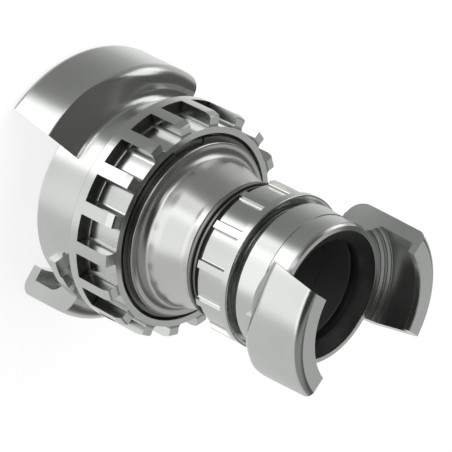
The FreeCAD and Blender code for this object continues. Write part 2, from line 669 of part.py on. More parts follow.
def at_small_end(solid):
    """Places a piece of the small coupling on top."""
    solid.translate(AXIS * SMALL_RIM_Z)
    return solid


def build():
    """All pieces by node name."""
    large_wire = stop_wire(LARGE_HEAD_LENGTH, LARGE_NECK_R, LARGE_WIRE_HEIGHT, LARGE_WIRE_TURN)
    small_wire = stop_wire(SMALL_HEAD_LENGTH, SMALL_NECK_R, SMALL_WIRE_HEIGHT, SMALL_WIRE_TURN)
    large_seal = mouth_seal(LARGE_RECESS_R, LARGE_RECESS_DEPTH, LARGE_WATERWAY_R, LARGE_SEAL_LIP)
    small_seal = mouth_seal(SMALL_RECESS_R, SMALL_RECESS_DEPTH, SMALL_BORE_R, SMALL_SEAL_LIP)
    return {
        "large_head": at_large_end(large_head()),
        "large_lock_ring": at_large_end(large_lock_ring()),
        "large_stop_wire": at_large_end(large_wire),
        "large_mouth_seal": at_large_end(large_seal),
        "large_retaining_wire": retaining_wire(LARGE_SPIGOT_R, large_retainer_z()),
        "large_o_ring": round_seal(LARGE_SPIGOT_R, BODY_SEAT_Z - LARGE_CORD_DEPTH),
        "reducing_body": reducing_body(),
        "small_o_ring": round_seal(SMALL_SPIGOT_R, BODY_TOP_Z + SMALL_CORD_DEPTH),
        "small_retaining_wire": retaining_wire(SMALL_SPIGOT_R, small_retainer_z()),
        "small_head": at_small_end(small_head()),
        "small_lock_ring": at_small_end(small_lock_ring()),
        "small_stop_wire": at_small_end(small_wire),
        "small_mouth_seal": at_small_end(small_seal),
    }


for name, shape in build().items():
    shape.exportStep(f"parts/{name}.step")
    box = shape.BoundBox
    print(name, "valid", shape.isValid(), "solids", len(shape.Solids), "volume", round(shape.Volume),
          "z", round(box.ZMin, 2), round(box.ZMax, 2))
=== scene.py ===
"""Looks of a fire hose reducer: cast, turned and drawn metal, rubber, threads, studio and camera."""

import json
import logging
import math
from dataclasses import astuple, dataclass
from enum import Enum

import bpy
from mathutils import Matrix, Vector


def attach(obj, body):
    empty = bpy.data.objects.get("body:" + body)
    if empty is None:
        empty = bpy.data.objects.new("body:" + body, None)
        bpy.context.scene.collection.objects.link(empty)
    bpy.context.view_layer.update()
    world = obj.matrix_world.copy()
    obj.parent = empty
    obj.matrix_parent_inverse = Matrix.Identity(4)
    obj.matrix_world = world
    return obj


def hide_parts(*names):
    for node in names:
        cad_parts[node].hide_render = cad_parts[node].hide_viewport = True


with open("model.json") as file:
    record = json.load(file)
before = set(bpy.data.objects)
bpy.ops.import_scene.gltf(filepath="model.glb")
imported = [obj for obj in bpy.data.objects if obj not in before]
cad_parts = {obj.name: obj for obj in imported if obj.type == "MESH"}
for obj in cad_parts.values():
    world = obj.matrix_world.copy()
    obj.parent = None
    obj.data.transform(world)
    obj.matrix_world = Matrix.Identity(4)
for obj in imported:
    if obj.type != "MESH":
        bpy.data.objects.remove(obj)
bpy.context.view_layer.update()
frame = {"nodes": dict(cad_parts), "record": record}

logging.basicConfig(level=logging.INFO, format="%(message)s")
LOG = logging.getLogger("reducer")

MM = 0.001

MIX_FACTOR, MIX_FIRST, MIX_SECOND = 0, 6, 7  # colour inputs of a Mix node
MIX_RESULT = 2

ARC_LEAD = 0.1  # straight before and after a rounding, in millimetres
ARC_LEAD_SHARE = 0.05  # and at most this share of the side

WIDEST_EDGE = 179.9  # angles that the ends of a blurred edge keep to, in degrees
NARROWEST_EDGE = 0.5

Colour = tuple[float, float, float, float]
Shade = Colour | bpy.types.NodeSocket
Materials = dict[str, bpy.types.Material]
Outline = list[tuple[float, float, bool]]


class Slot(Enum):
    """Material slots of the record."""

    CASTING = "cast_aluminium"
    RING = "ring_aluminium"
    TURNED = "turned_aluminium"
    WIRE = "spring_wire"
    RUBBER = "black_rubber"


class Link:
    """Output socket whose arithmetic adds Math nodes."""

    def __init__(self, graph: "Graph", socket: bpy.types.NodeSocket) -> None:
        """Wraps a socket.

        Args:
            graph: the graph that gets the new nodes.
            socket: the output that this value comes from.
        """
        self.graph = graph
        self.socket = socket

    def __add__(self, other: "Link | float") -> "Link":
        """Sum."""
        return self.graph.math("ADD", self, other)

    def __radd__(self, other: "Link | float") -> "Link":
        """Sum with a number on the left."""
        return self.graph.math("ADD", other, self)

    def __sub__(self, other: "Link | float") -> "Link":
        """Difference."""
        return self.graph.math("SUBTRACT", self, other)

    def __rsub__(self, other: "Link | float") -> "Link":
        """Difference with a number on the left."""
        return self.graph.math("SUBTRACT", other, self)

    def __mul__(self, other: "Link | float") -> "Link":
        """Product."""
        return self.graph.math("MULTIPLY", self, other)

    def __rmul__(self, other: "Link | float") -> "Link":
        """Product with a number on the left."""
        return self.graph.math("MULTIPLY", other, self)


class Graph:
    """Node tree of a material or the world."""

    def __init__(self, tree: bpy.types.NodeTree) -> None:
        """Empties the tree and starts a new one.

        Args:
            tree: the node tree to fill.
        """
        self.tree = tree
        tree.nodes.clear()

    def add(self, kind: str, settings: dict | None = None, inputs: dict | None = None) -> bpy.types.Node:
        """Adds any node.

        Args:
            kind: the node's type, such as ShaderNodeTexNoise.
            settings: properties of the node, set first.
            inputs: values, Links or sockets by input name or number.

        Returns:
            The new node.
        """
        node = self.tree.nodes.new(kind)
        for name, value in (settings or {}).items():
            setattr(node, name, value)
        for name, value in (inputs or {}).items():
            self.feed(node.inputs[name], value)
        return node

    def feed(self, target: bpy.types.NodeSocket, value: object) -> None:
        """Links a socket or sets its value.

        Args:
            target: the input.
            value: a Link, a socket or a plain value.
        """
        if isinstance(value, Link):
            self.tree.links.new(value.socket, target)
        elif isinstance(value, bpy.types.NodeSocket):
            self.tree.links.new(value, target)
        else:
            target.default_value = value

    def link(self, node: bpy.types.Node, output: str | int = 0) -> Link:
        """One output of a node as a value."""
        return Link(self, node.outputs[output])

    def math(self, operation: str, *values: Link | float) -> Link:
        """A Math node on numbers and Links."""
        return self.link(self.add("ShaderNodeMath", {"operation": operation}, dict(enumerate(values))))

    def vector(self, operation: str, *values: object) -> bpy.types.Node:
        """A Vector Math node."""
        return self.add("ShaderNodeVectorMath", {"operation": operation}, dict(enumerate(values)))

    def place(self) -> bpy.types.NodeSocket:
        """Coordinates in the object's own frame, in metres."""
        return self.add("ShaderNodeTexCoord").outputs["Object"]

    def axis(self, name: str) -> Link:
        """One coordinate in the object's frame, in metres."""
        return self.link(self.add("ShaderNodeSeparateXYZ", {}, {0: self.place()}), name)

    def height(self) -> Link:
        """Height over the floor, in metres."""
        return self.axis("Z")

    def radius(self) -> Link:
        """Distance from the waterway's axis, in metres."""
        flat = self.vector("MULTIPLY", self.place(), (1.0, 1.0, 0.0)).outputs[0]
        return self.link(self.vector("LENGTH", flat), "Value")

    def azimuth(self) -> Link:
        """Angle round the waterway's axis, in radians."""
        return self.math("ARCTAN2", self.axis("Y"), self.axis("X"))

    def noise(self, scale: float, detail: float) -> Link:
        """Fractal noise about 0.5; scale is in features a metre."""
        inputs = {"Vector": self.place(), "Scale": scale, "Detail": detail}
        return self.link(self.add("ShaderNodeTexNoise", {}, inputs))

    def ramp(self, value: Link, low: float, high: float,
             out_low: float = 0.0, out_high: float = 1.0) -> Link:
        """Smooth remap of a value between two limits, which holds outside them.

        Args:
            value: the value.
            low: the limit that gives out_low.
            high: the limit that gives out_high, above or below low.
            out_low: the result at low.
            out_high: the result at high.

        Returns:
            The remapped value.
        """
        settings = {"interpolation_type": "SMOOTHSTEP"}
        inputs = {"Value": value, "From Min": low, "From Max": high, "To Min": out_low, "To Max": out_high}
        return self.link(self.add("ShaderNodeMapRange", settings, inputs))

    def slope(self, value: Link, low: float, high: float, out_low: float, out_high: float) -> Link:
        """Straight remap of a value between two limits, which holds outside them."""
        inputs = {"Value": value, "From Min": low, "From Max": high, "To Min": out_low, "To Max": out_high}
        return self.link(self.add("ShaderNodeMapRange", {}, inputs))

    def blend(self, factor: Link, first: Shade, second: Shade) -> bpy.types.NodeSocket:
        """Mix of two colours: first where the factor is 0, second where it is 1."""
        inputs = {MIX_FACTOR: factor, MIX_FIRST: first, MIX_SECOND: second}
        return self.add("ShaderNodeMix", {"data_type": "RGBA"}, inputs).outputs[MIX_RESULT]

    def bump(self, height: Link, depth: float) -> bpy.types.NodeSocket:
        """Normal from a height; depth is the length of a height of 1, in metres."""
        return self.add("ShaderNodeBump", {}, {"Height": height, "Distance": depth}).outputs["Normal"]

    def light_path(self, kind: str) -> Link:
        """1 for one kind of ray, such as Is Camera Ray, and 0 for the others."""
        return self.link(self.add("ShaderNodeLightPath"), kind)


def colour(red: float, green: float, blue: float) -> Colour:
    """Opaque colour."""
    return (red, green, blue, 1.0)


def grey(level: float) -> Colour:
    """Neutral colour of one level."""
    return colour(level, level, level)


def new_material(name: str) -> tuple[bpy.types.Material, Graph]:
    """Makes an empty node material.

    Args:
        name: the material's name.

    Returns:
        The material and its graph.
    """
    material = bpy.data.materials.new(name)
    material.use_nodes = True
    return material, Graph(material.node_tree)


@dataclass(frozen=True)
class Waterway:
    """Painted shade on the walls of the bores, told from the outer walls by a line between them.

    The line is a radius that changes with height, in millimetres: it follows the walls of the
    large mouth, the large bore, the cone of the body and the small bore. The edge is the
    half-width of its blur.
    """

    mouth_r: float = 53.0
    large_r: float = 45.5
    small_r: float = 34.6
    mouth_top: float = 47.0
    large_foot: float = 66.0
    cone_foot: float = 90.0
    cone_top: float = 122.1
    edge: float = 0.6
    # painted shade: the black, non-metallic colour that stands for the dark inside the bores
    painted_bore_shade: Colour = colour(0.05, 0.052, 0.05)
    roughness: float = 0.45

    def inside(self, graph: Graph) -> Link:
        """Finds the walls of the waterway.

        Args:
            graph: the material's graph.

        Returns:
            A mask that is 1 on those walls and 0 outside.
        """
        height = graph.height()
        line = graph.slope(height, self.mouth_top * MM, self.large_foot * MM,
                           self.mouth_r * MM, self.large_r * MM)
        drop = (self.large_r - self.small_r) * MM
        line = line - graph.slope(height, self.cone_foot * MM, self.cone_top * MM, 0.0, drop)
        return graph.ramp(line - graph.radius(), -self.edge * MM, self.edge * MM)


@dataclass(frozen=True)
class Thread:
    """Helical thread cut in a sleeve, in millimetres.

    It fades off the sleeve's radius over its reach, and along the sleeve over its run-out.
    """

    radius: float
    low: float
    high: float
    pitch: float = 3.0
    reach: float = 0.45
    depth: float = 0.5
    run_out: float = 1.0

    def height(self, graph: Graph) -> Link:
        """Draws the thread on its sleeve.

        Args:
            graph: the material's graph.

        Returns:
            The thread's height over the sleeve, in millimetres, and 0 elsewhere.
        """
        turn = graph.azimuth() + graph.height() * (2 * math.pi / (self.pitch * MM))
        wave = graph.math("SINE", turn) * (self.depth / 2)
        off_sleeve = graph.math("ABSOLUTE", graph.radius() - self.radius * MM)
        across = graph.ramp(off_sleeve, self.reach * MM, 0.0)
        along = graph.ramp(graph.height(), self.low * MM, (self.low + self.run_out) * MM)
        along = along * graph.ramp(graph.height(), self.high * MM, (self.high - self.run_out) * MM)
        return wave * across * along


@dataclass(frozen=True)
class Ledges:
    """Turned ledges with grooves between them, on a flange round the waterway; the grooves carry painted
    shade.

    The flange is a cone on which height less radius is one number, its rise. The mask is full up
    to one distance off that cone and ends at its reach. A groove's width is taken from its middle,
    and its floor is a share of that. Lengths are in millimetres.
    """

    grooves: tuple[float, ...]
    rise: float
    full: float = 0.4
    reach: float = 0.6
    width: float = 0.8
    floor: float = 0.3
    depth: float = 0.5
    # share of the base colour in the grooves: painted shade
    shade: float = 0.45

    def mask(self, graph: Graph) -> Link:
        """Finds the grooves.

        Args:
            graph: the material's graph.

        Returns:
            A mask that is 1 in the grooves and 0 outside.
        """
        off_cone = graph.math("ABSOLUTE", graph.height() - graph.radius() - self.rise * MM)
        where = graph.ramp(off_cone, self.reach * MM, self.full * MM)
        lines = 0.0
        for radius in self.grooves:
            off = graph.math("ABSOLUTE", graph.radius() - radius * MM)
            lines = graph.ramp(off, self.width * MM, self.width * self.floor * MM) + lines
        return graph.math("MINIMUM", lines, 1.0) * where


@dataclass(frozen=True)
class ShadeBand:
    """Band of painted shade round the waterway's axis, between two heights and inside a radius.

    Lengths are in millimetres. The low and high edges are the half-widths of the blurred ends.
    The outer radius is blurred from inside it to outside it. The share is of the base colour.
    """

    low: float
    high: float
    share: float
    outer_r: float = 100.0
    low_edge: float = 0.2
    high_edge: float = 0.2
    outside: float = 0.2
    inside: float = 0.3
    roughness: float = 0.15

    def mask(self, graph: Graph) -> Link:
        """Finds the band.

        Args:
            graph: the material's graph.

        Returns:
            A mask that is 1 in the band and 0 outside.
        """
        height = graph.height()
        above = graph.ramp(height, (self.low - self.low_edge) * MM, (self.low + self.low_edge) * MM)
        below = graph.ramp(height, (self.high + self.high_edge) * MM, (self.high - self.high_edge) * MM)
        within = graph.ramp(graph.radius(), (self.outer_r + self.outside) * MM,
                            (self.outer_r - self.inside) * MM)
        return above * below * within


@dataclass(frozen=True)
class PocketFootShade:
    """Painted shade, and more roughness, at the foot of the walls of a ring's pockets, just over their
    floor.

    Start, full, fade and end are heights over the floor, in millimetres. The strength is how far
    the shade goes to its share of the base colour.
    """

    floor_r: float
    start: float = 0.1
    full: float = 0.4
    fade: float = 1.0
    end: float = 2.4
    strength: float = 0.5
    share: float = 0.3
    roughness: float = 0.2

    def mask(self, graph: Graph) -> Link:
        """Finds the foot of the walls.

        Args:
            graph: the material's graph.

        Returns:
            A mask that is 1 at the foot and 0 elsewhere.
        """
        above = graph.radius() - self.floor_r * MM
        foot = graph.ramp(above, self.start * MM, self.full * MM)
        return foot * graph.ramp(above, self.end * MM, self.fade * MM)


@dataclass(frozen=True)
class Metal:
    """Bare aluminium or steel with a fine surface, with painted shade in its hollows and on its bores.

    Clouds are wide patches, a little darker and smoother than the rest. The grain is the fine
    surface of the metal: its scale is in features a metre and its depth in millimetres.
    """

    name: str
    base: tuple[float, float, float] = (0.69, 0.71, 0.68)
    roughness: float = 0.22
    cloud_scale: float = 18.0
    cloud_detail: float = 2.0
    cloud_limits: tuple[float, float] = (0.35, 0.65)
    cloud_share: float = 0.94
    polish_limits: tuple[float, float] = (0.3, 0.7)
    polish: tuple[float, float] = (-0.015, 0.02)
    grain: float = 600.0
    grain_detail: float = 1.0
    grain_depth: float = 0.012
    waterway: Waterway | None = None
    thread: Thread | None = None
    ledges: Ledges | None = None
    pocket_foot_shade: PocketFootShade | None = None
    shade_bands: tuple[ShadeBand, ...] = ()

    def material(self) -> bpy.types.Material:
        """Builds the material.

        Returns:
            The material.
        """
        material, graph = new_material(self.name)
        clouds = graph.noise(self.cloud_scale, self.cloud_detail)
        clear = graph.ramp(clouds, *self.cloud_limits)
        shade = graph.blend(clear, self.tinted(self.cloud_share), self.tinted(1.0))
        levels = (self.roughness + change for change in self.polish)
        rough = graph.ramp(clouds, *self.polish_limits, *levels)
        metal = 1.0
        # painted shade at the foot of the pocket walls, with more roughness
        if self.pocket_foot_shade:
            foot = self.pocket_foot_shade.mask(graph)
            painted_pocket_shade = self.tinted(self.pocket_foot_shade.share)
            shade = graph.blend(foot * self.pocket_foot_shade.strength, shade, painted_pocket_shade)
            rough = rough + foot * self.pocket_foot_shade.roughness
        # bands of painted shade, with more roughness
        for band in self.shade_bands:
            dark = band.mask(graph)
            shade = graph.blend(dark, shade, self.tinted(band.share))
            rough = rough + dark * band.roughness
        # painted shade in the ledges' grooves
        if self.ledges:
            grooves = self.ledges.mask(graph)
            shade = graph.blend(grooves * (1.0 - self.ledges.shade), shade, self.tinted(self.ledges.shade))
        # painted shade: the waterway's walls turn black and not metallic
        if self.waterway:
            bore_mask = self.waterway.inside(graph)
            shade = graph.blend(bore_mask, shade, self.waterway.painted_bore_shade)
            rough = rough + bore_mask * (self.waterway.roughness - self.roughness)
            metal = 1.0 - bore_mask
        surface = graph.add("ShaderNodeBsdfPrincipled", {}, {
            "Base Color": shade,
            "Metallic": metal,
            "Roughness": rough,
            "Normal": graph.bump(self.relief(graph), MM),
        })
        graph.add("ShaderNodeOutputMaterial", {}, {"Surface": surface.outputs[0]})
        return material

    def tinted(self, share: float) -> Colour:
        """The base colour, darkened to a share."""
        return colour(*(channel * share for channel in self.base))

    def relief(self, graph: Graph) -> Link:
        """Draws the fine surface.

        Args:
            graph: the material's graph.

        Returns:
            Its height, in millimetres.
        """
        height = graph.noise(self.grain, self.grain_detail) * self.grain_depth
        if self.thread:
            height = height + self.thread.height(graph)
        if self.ledges:
            height = height - self.ledges.mask(graph) * self.ledges.depth
        return height


@dataclass(frozen=True)
class Rubber:
    """Black moulded rubber with a dusty bloom and a fine grain.

    Scales are in features a metre and the grain's depth is in millimetres.
    """

    name: str = "black_rubber"
    base: Colour = colour(0.007, 0.007, 0.007)
    dust: Colour = colour(0.016, 0.016, 0.015)
    specular: float = 0.35
    roughness: float = 0.55
    polish: tuple[float, float] = (-0.06, 0.08)
    bloom_scale: float = 60.0
    bloom_detail: float = 4.0
    dust_limits: tuple[float, float] = (0.4, 0.7)
    polish_limits: tuple[float, float] = (0.3, 0.7)
    grain: float = 1500.0
    grain_detail: float = 2.0
    grain_depth: float = 0.02

    def material(self) -> bpy.types.Material:
        """Builds the material.

        Returns:
            The material.
        """
        material, graph = new_material(self.name)
        bloom = graph.noise(self.bloom_scale, self.bloom_detail)
        levels = (self.roughness + change for change in self.polish)
        surface = graph.add("ShaderNodeBsdfPrincipled", {}, {
            "Base Color": graph.blend(graph.ramp(bloom, *self.dust_limits), self.base, self.dust),
            "Roughness": graph.ramp(bloom, *self.polish_limits, *levels),
            "Specular IOR Level": self.specular,
            "Normal": graph.bump(graph.noise(self.grain, self.grain_detail), self.grain_depth * MM),
        })
        graph.add("ShaderNodeOutputMaterial", {}, {"Surface": surface.outputs[0]})
        return material


def arc(corner: Vector, before: Vector, after: Vector, rounding: float, step: float) -> list[Vector]:
    """Rounds one corner of an outline.

    Args:
        corner: the sharp corner.
        before: from the corner to the one before it.
        after: from the corner to the one after it.
        rounding: radius of the arc.
        step: largest turn of one piece of the arc, in degrees.

    Returns:
        Points of the arc, with one more on the straight before it and after it.
    """
    back, ahead = before.normalized(), after.normalized()
    opening = back.angle(ahead)
    reach = rounding / math.tan(opening / 2)
    middle = corner + (back + ahead).normalized() * rounding / math.sin(opening / 2)
    start, end = corner + back * reach - middle, corner + ahead * reach - middle
    turn = math.pi - opening
    if back.x * ahead.y - back.y * ahead.x > 0:
        turn = -turn
    count = max(2, math.ceil(math.degrees(abs(turn)) / step))
    points = [middle + start + back * min(ARC_LEAD, before.length * ARC_LEAD_SHARE)]
    for part in range(count + 1):
        angle = turn * part / count
        spoke = Vector((start.x * math.cos(angle) - start.y * math.sin(angle),
                        start.x * math.sin(angle) + start.y * math.cos(angle)))
        points.append(middle + spoke)
    points.append(middle + end + ahead * min(ARC_LEAD, after.length * ARC_LEAD_SHARE))
    return points


def rounded(corners: list[tuple[float, ...]], step: float = 5.0) -> Outline:
    """Rounds the corners of a closed outline.

    Args:
        corners: (radius, height) or (radius, height, rounding) in millimetres.
        step: largest turn of one piece of an arc, in degrees.

    Returns:
        A list of (radius, height, sharp) points.
    """
    points = []
    for index, (radius, height, *rounding) in enumerate(corners):
        corner = Vector((radius, height))
        if not rounding:
            points.append((*corner, True))
            continue
        before = Vector(corners[index - 1][:2]) - corner
        after = Vector(corners[(index + 1) % len(corners)][:2]) - corner
        points += [(*point, False) for point in arc(corner, before, after, rounding[0], step)]
    return points


def lathe(name: str, outline: Outline, count: int = 288) -> bpy.types.Object:
    """Ring turned from a closed outline round the waterway's axis.

    Args:
        name: the piece's name.
        outline: (radius, height, sharp) points in millimetres.
        count: points round the ring.

    Returns:
        The piece, smooth apart from its sharp corners.
    """
    size = len(outline)
    spots = []
    for step in range(count):
        turn = 2 * math.pi * step / count
        spots += [(r * MM * math.cos(turn), r * MM * math.sin(turn), z * MM) for r, z, _ in outline]
    faces = [(step * size + k, (step + 1) % count * size + k,
              (step + 1) % count * size + (k + 1) % size, step * size + (k + 1) % size)
             for step in range(count) for k in range(size)]
    mesh = bpy.data.meshes.new(name)
    mesh.from_pydata(spots, [], faces)
    mesh.shade_smooth()
    for edge in mesh.edges:
        first, second = edge.vertices
        if first % size == second % size and outline[first % size][2]:
            edge.use_edge_sharp = True
    piece = bpy.data.objects.new(name, mesh)
    bpy.context.scene.collection.objects.link(piece)
    return piece


def dress(node: str, materials: Materials) -> None:
    """Gives a CAD node the finish of its slot in the record.

    Args:
        node: the node's name.
        materials: material by slot name.
    """
    slot = next(part["material_slot"] for part in frame["record"]["subparts"] if part["node"] == node)
    for entry in frame["nodes"][node].material_slots:
        entry.material = materials[slot]
    LOG.info("dressed %s in %s", node, slot)


@dataclass(frozen=True)
class Coupling:
    """Head, lock ring, seals and wires of one end, which keep their CAD shapes."""

    head: str
    lock_ring: str
    stop_wire: str
    mouth_seal: str
    retaining_wire: str
    round_seal: str

    def build(self, materials: Materials) -> None:
        """Dresses each node.

        Args:
            materials: material by slot name.
        """
        for node in astuple(self):
            dress(node, materials)


@dataclass(frozen=True)
class Groove:
    """Square groove in a spigot, in millimetres."""

    floor_r: float
    low: float
    high: float

    def corners(self, spigot_r: float) -> list[tuple[float, float]]:
        """Corners of the groove in a spigot of one radius, upwards."""
        lower = [(spigot_r, self.low), (self.floor_r, self.low)]
        return lower + [(self.floor_r, self.high), (spigot_r, self.high)]


@dataclass(frozen=True)
class BellBody:
    """Middle body between the heads, turned with rounded shoulders.

    Radii, roundings and heights over the floor are in millimetres. They are those of its solid,
    apart from the bell's foot and shoulder.
    """

    spigot_r: float = 48.0
    spigot_foot: float = 65.65
    spigot_round: float = 0.8
    large_seal_groove: Groove = Groove(floor_r=45.15, low=70.2, high=73.1)
    large_wire_groove: Groove = Groove(floor_r=46.75, low=79.1, high=81.6)
    bore_r: float = 43.0
    bore_edge_round: float = 1.0
    bore_round: float = 8.0
    cone_start: float = 4.0  # below the seat
    seat: float = 93.65
    seat_round: float = 0.3
    lip_r: float = 51.3
    lip_top: float = 97.2
    lip_round: float = 1.0
    foot_r: float = 44.2
    foot_round: float = 5.5
    shoulder_r: float = 42.8
    shoulder: float = 106.5
    shoulder_round: float = 25.0
    neck_r: float = 38.2
    neck: float = 122.15
    neck_round: float = 9.0
    bead_r: float = 40.4
    bead: float = 127.0
    bead_foot_round: float = 2.0
    bead_rise: float = 1.6  # height of the bead's cone
    bead_round: float = 0.8
    top: float = 131.0
    small_spigot_r: float = 35.0
    small_spigot_top: float = 161.0
    small_spigot_round: float = 0.6
    small_wire_groove: Groove = Groove(floor_r=33.75, low=142.0, high=144.5)
    small_seal_groove: Groove = Groove(floor_r=32.15, low=152.5, high=155.5)
    small_bore_r: float = 31.0

    def outline(self) -> list[tuple[float, ...]]:
        """Draws the section from the foot of the large bore, round the outside and back.

        Returns:
            (radius, height) or (radius, height, rounding) of each corner.
        """
        return [
            (self.bore_r, self.spigot_foot, self.bore_edge_round),
            (self.spigot_r, self.spigot_foot, self.spigot_round),
            *self.large_seal_groove.corners(self.spigot_r),
            *self.large_wire_groove.corners(self.spigot_r),
            (self.spigot_r, self.seat),
            (self.lip_r, self.seat, self.seat_round),
            (self.lip_r, self.lip_top, self.lip_round),
            (self.foot_r, self.lip_top, self.foot_round),
            (self.shoulder_r, self.shoulder, self.shoulder_round),
            (self.neck_r, self.neck, self.neck_round),
            (self.neck_r, self.bead, self.bead_foot_round),
            (self.bead_r, self.bead + self.bead_rise, self.bead_round),
            (self.bead_r, self.top, self.bead_round),
            (self.small_spigot_r, self.top),
            *self.small_wire_groove.corners(self.small_spigot_r),
            *self.small_seal_groove.corners(self.small_spigot_r),
            (self.small_spigot_r, self.small_spigot_top, self.small_spigot_round),
            (self.small_bore_r, self.small_spigot_top, self.small_spigot_round),
            (self.small_bore_r, self.neck, self.bore_round),
            (self.bore_r, self.seat - self.cone_start, self.bore_round),
        ]

    def build(self, materials: Materials) -> None:
        """Makes the body and puts it in the place of its solid.

        Args:
            materials: material by slot name.
        """
        dress("reducing_body", materials)
        body = lathe("turned_body", rounded(self.outline()))
        body.data.materials.append(materials[Slot.TURNED.value])
        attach(body, "body")
        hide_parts("reducing_body")
        LOG.info("built %s", body.name)


@dataclass(frozen=True)
class Lamp:
    """Soft rectangular lamp that points at the part, in metres and watts."""

    name: str
    towards: tuple[float, float, float]
    distance: float
    width: float
    height: float
    power: float

    def build(self, target: Vector) -> None:
        """Makes the lamp, which reflections don't show.

        Args:
            target: the point that it faces.
        """
        data = bpy.data.lights.new(self.name, "AREA")
        data.shape = "RECTANGLE"
        data.size = self.width
        data.size_y = self.height
        data.energy = self.power
        lamp = bpy.data.objects.new(self.name, data)
        away = Vector(self.towards).normalized()
        lamp.location = target + away * self.distance
        lamp.rotation_euler = away.to_track_quat("Z", "Y").to_euler()
        lamp.visible_glossy = False
        bpy.context.scene.collection.objects.link(lamp)
        LOG.info("built %s", lamp.name)


def edge_cosines(angle: float, softness: float) -> tuple[float, float]:
    """Cosines of the outer and the inner end of a blurred edge at an angle, in degrees."""
    outer, inner = min(angle + softness, WIDEST_EDGE), max(angle - softness, NARROWEST_EDGE)
    return math.cos(math.radians(outer)), math.cos(math.radians(inner))


@dataclass(frozen=True)
class Card:
    """Soft round patch of the room, lighter or darker than what is round it.

    Angles are in degrees: azimuth counterclockwise from +X, elevation above the horizon. The
    softness is the half-width of the blurred edge.
    """

    azimuth: float
    elevation: float
    radius: float
    level: float
    softness: float = 4.0

    def mask(self, graph: Graph, direction: bpy.types.NodeSocket) -> Link:
        """Finds the card in the room.

        Args:
            graph: the world's graph.
            direction: the way that a ray goes.

        Returns:
            A mask that is 1 in the card and 0 outside.
        """
        turn, rise = math.radians(self.azimuth), math.radians(self.elevation)
        middle = (math.cos(rise) * math.cos(turn), math.cos(rise) * math.sin(turn), math.sin(rise))
        near = graph.link(graph.vector("DOT_PRODUCT", direction, middle), "Value")
        return graph.ramp(near, *edge_cosines(self.radius, self.softness))


@dataclass(frozen=True)
class Panel:
    """Soft-edged upright stretch of the room, lighter or darker than what is round it.

    Angles are in degrees: azimuth counterclockwise from +X, low and high above the horizon. A
    softness is the half-width of a blurred edge. An end at 90 degrees has no edge.
    """

    azimuth: float
    half_width: float
    low: float
    high: float
    level: float
    softness: float = 6.0
    end_softness: float = 6.0

    def mask(self, graph: Graph, direction: bpy.types.NodeSocket) -> Link:
        """Finds the panel in the room.

        Args:
            graph: the world's graph.
            direction: the way that a ray goes.

        Returns:
            A mask that is 1 in the panel and 0 outside.
        """
        turn = math.radians(self.azimuth)
        flat = graph.vector("MULTIPLY", direction, (1.0, 1.0, 0.0)).outputs[0]
        level_way = graph.vector("NORMALIZE", flat).outputs[0]
        facing = graph.vector("DOT_PRODUCT", level_way, (math.cos(turn), math.sin(turn), 0.0))
        mask = graph.ramp(graph.link(facing, "Value"), *edge_cosines(self.half_width, self.softness))
        height = graph.link(graph.add("ShaderNodeSeparateXYZ", {}, {0: direction}), "Z")
        for edge, side in ((self.low, 1), (self.high, -1)):
            if abs(edge) < 90:
                start = math.sin(math.radians(edge - side * self.end_softness))
                end = math.sin(math.radians(edge + side * self.end_softness))
                mask = mask * graph.ramp(height, start, end)
        return mask


@dataclass(frozen=True)
class Floor:
    """Round pale floor under the part, in metres.

    Its glow is how far it fades to white for the camera. Reflections pass through it to the room.
    """

    radius: float = 4.0
    points: int = 96
    paint: Colour = colour(0.9, 0.9, 0.9)
    roughness: float = 0.9
    specular: float = 0.1
    glow: float = 0.85

    def build(self) -> None:
        """Makes the floor."""
        mesh = bpy.data.meshes.new("floor")
        turns = [2 * math.pi * point / self.points for point in range(self.points)]
        ring = [(self.radius * math.cos(turn), self.radius * math.sin(turn), 0.0) for turn in turns]
        mesh.from_pydata(ring, [], [tuple(range(self.points))])
        mesh.materials.append(self.material())
        floor = bpy.data.objects.new("floor", mesh)
        floor.visible_glossy = False
        bpy.context.scene.collection.objects.link(floor)
        LOG.info("built %s", floor.name)

    def material(self) -> bpy.types.Material:
        """Builds the floor's paint.

        Returns:
            The material.
        """
        material, graph = new_material("pale_floor")
        pale = graph.add("ShaderNodeBsdfPrincipled", {}, {
            "Base Color": self.paint, "Roughness": self.roughness, "Specular IOR Level": self.specular})
        white = graph.add("ShaderNodeEmission", {}, {"Color": grey(1.0), "Strength": 1.0})
        seen = graph.light_path("Is Camera Ray") * self.glow
        surface = graph.add("ShaderNodeMixShader", {}, {0: seen, 1: pale.outputs[0], 2: white.outputs[0]})
        graph.add("ShaderNodeOutputMaterial", {}, {"Surface": surface.outputs[0]})
        return material


